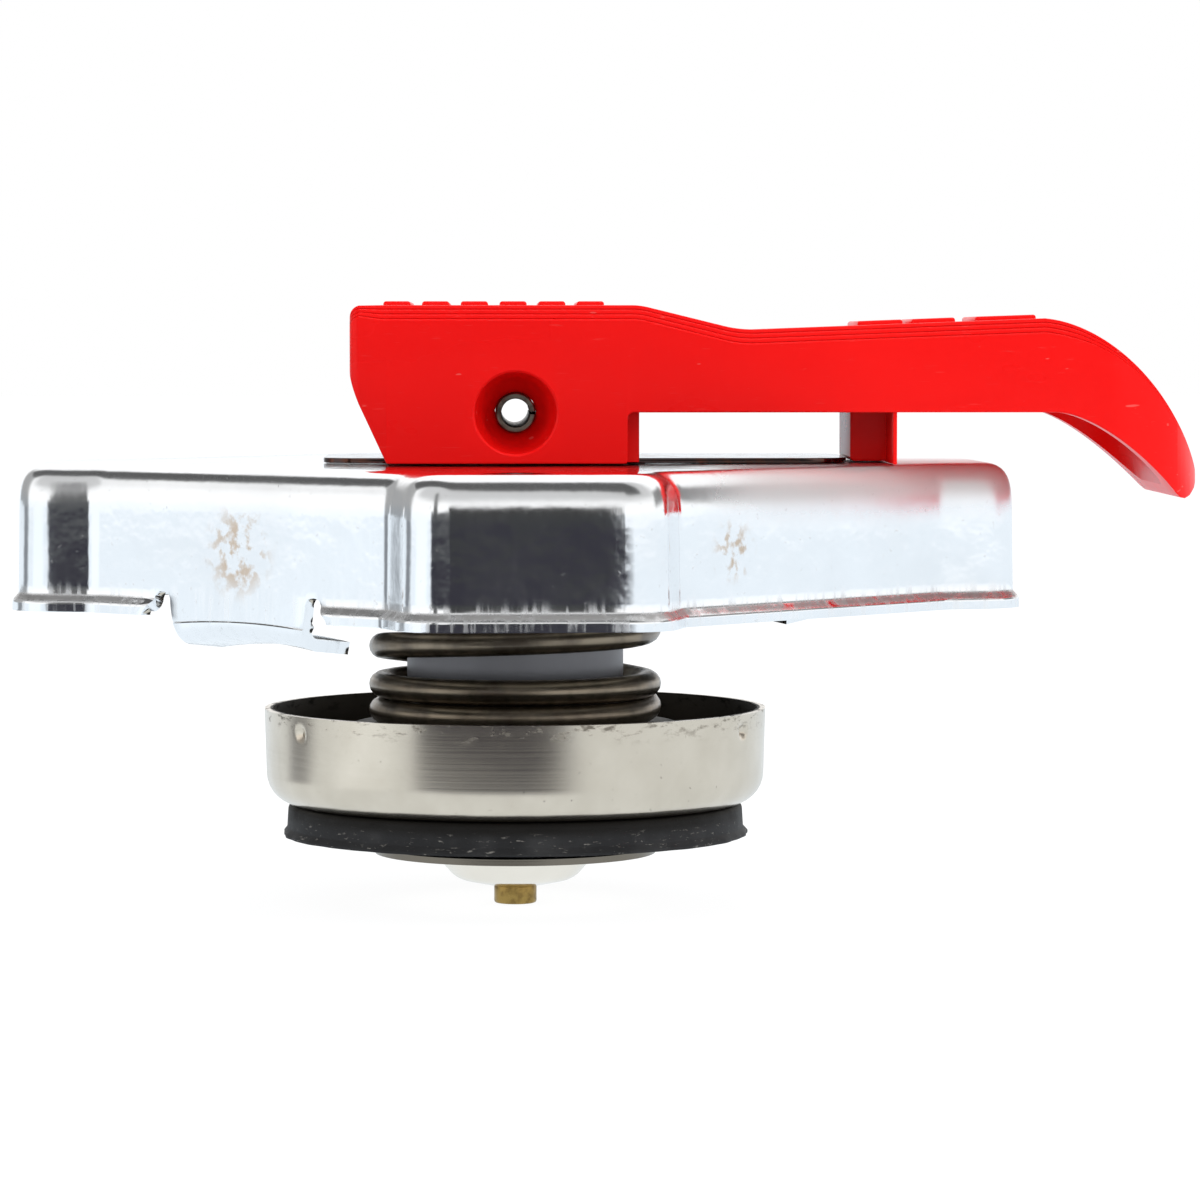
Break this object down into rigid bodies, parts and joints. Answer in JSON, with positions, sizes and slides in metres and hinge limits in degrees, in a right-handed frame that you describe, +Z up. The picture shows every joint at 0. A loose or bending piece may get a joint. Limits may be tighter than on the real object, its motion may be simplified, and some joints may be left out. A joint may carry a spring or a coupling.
{
  "type": "radiator cap",
  "caption": "Lobed pressed-metal radiator cap with a hinged red safety lever, a coil-sprung pressure valve on a rubber seal and a small vacuum valve with a brass pin.",
  "frame": {"origin": "centre of the filler neck's rim, on the underside of the neck gasket", "axes": "+Z up along the cap's axis through the lever, +X along the lever from its pin to its finger end, +Y across the lever"},
  "size_m": [0.0841, 0.0724, 0.0431],
  "materials": {
    "plated_steel": "bright plating with light stains",
    "red_plastic": "semi-gloss moulded plastic with fine scratches",
    "pin_steel": "plain steel",
    "dark_steel": "dark strip steel",
    "spring_steel": "oiled spring wire",
    "grey_plastic": "satin moulded plastic",
    "stainless": "satin pressed sheet",
    "bright_sheet": "polished thin sheet",
    "black_rubber": "moulded, dusted with light specks",
    "brass": "turned"
  },
  "bodies": {
    "shell": {"shell": "plated_steel", "centre_bushing": "stainless", "stem_seal": "black_rubber", "neck_diaphragm": "stainless", "neck_gasket": "black_rubber"},
    "guide_strip": {"guide_strip": "dark_steel"},
    "stem": {"stem": "grey_plastic"},
    "lever": {"lever": "red_plastic", "roll_pin": "pin_steel"},
    "valve": {"valve_cup": "stainless", "pressure_seal": "black_rubber", "valve_post": "pin_steel", "pressure_spring": "spring_steel", "vacuum_spring": "pin_steel"},
    "vacuum": {"vacuum_disc": "bright_sheet", "vacuum_pin": "brass", "vacuum_keeper": "pin_steel"}
  },
  "joints": [
    {"name": "swivel", "type": "hinge", "parent": "shell", "child": "guide_strip", "pos_m": [0, 0, 0], "axis": [0, 0, 1], "continuous": true},
    {"name": "stem_lift", "type": "slide", "parent": "guide_strip", "child": "stem", "axis": [0, 0, 1], "range_m": [0, 0.006], "deforming": ["pressure_spring"]},
    {"name": "lever_hinge", "type": "hinge", "parent": "stem", "child": "lever", "pos_m": [0, 0, 0.00796], "axis": [0, -1, 0], "range_deg": [0, 45], "stiffness_Nm_per_rad": 0.02, "springref_deg": -17.19},
    {"name": "relief_lift", "type": "slide", "parent": "stem", "child": "valve", "axis": [0, 0, 1], "range_m": [0, 0.001], "stiffness_N_per_m": 600, "springref_m": -0.004, "deforming": ["pressure_spring"]},
    {"name": "vacuum_drop", "type": "slide", "parent": "valve", "child": "vacuum", "axis": [0, 0, -1], "range_m": [0, 0.001], "stiffness_N_per_m": 100, "springref_m": -0.0015, "deforming": ["vacuum_spring"]}
  ],
  "couplings": [
    {"joint": "stem_lift", "follows": "lever_hinge", "m_per_rad": 0.00755}
  ]
}
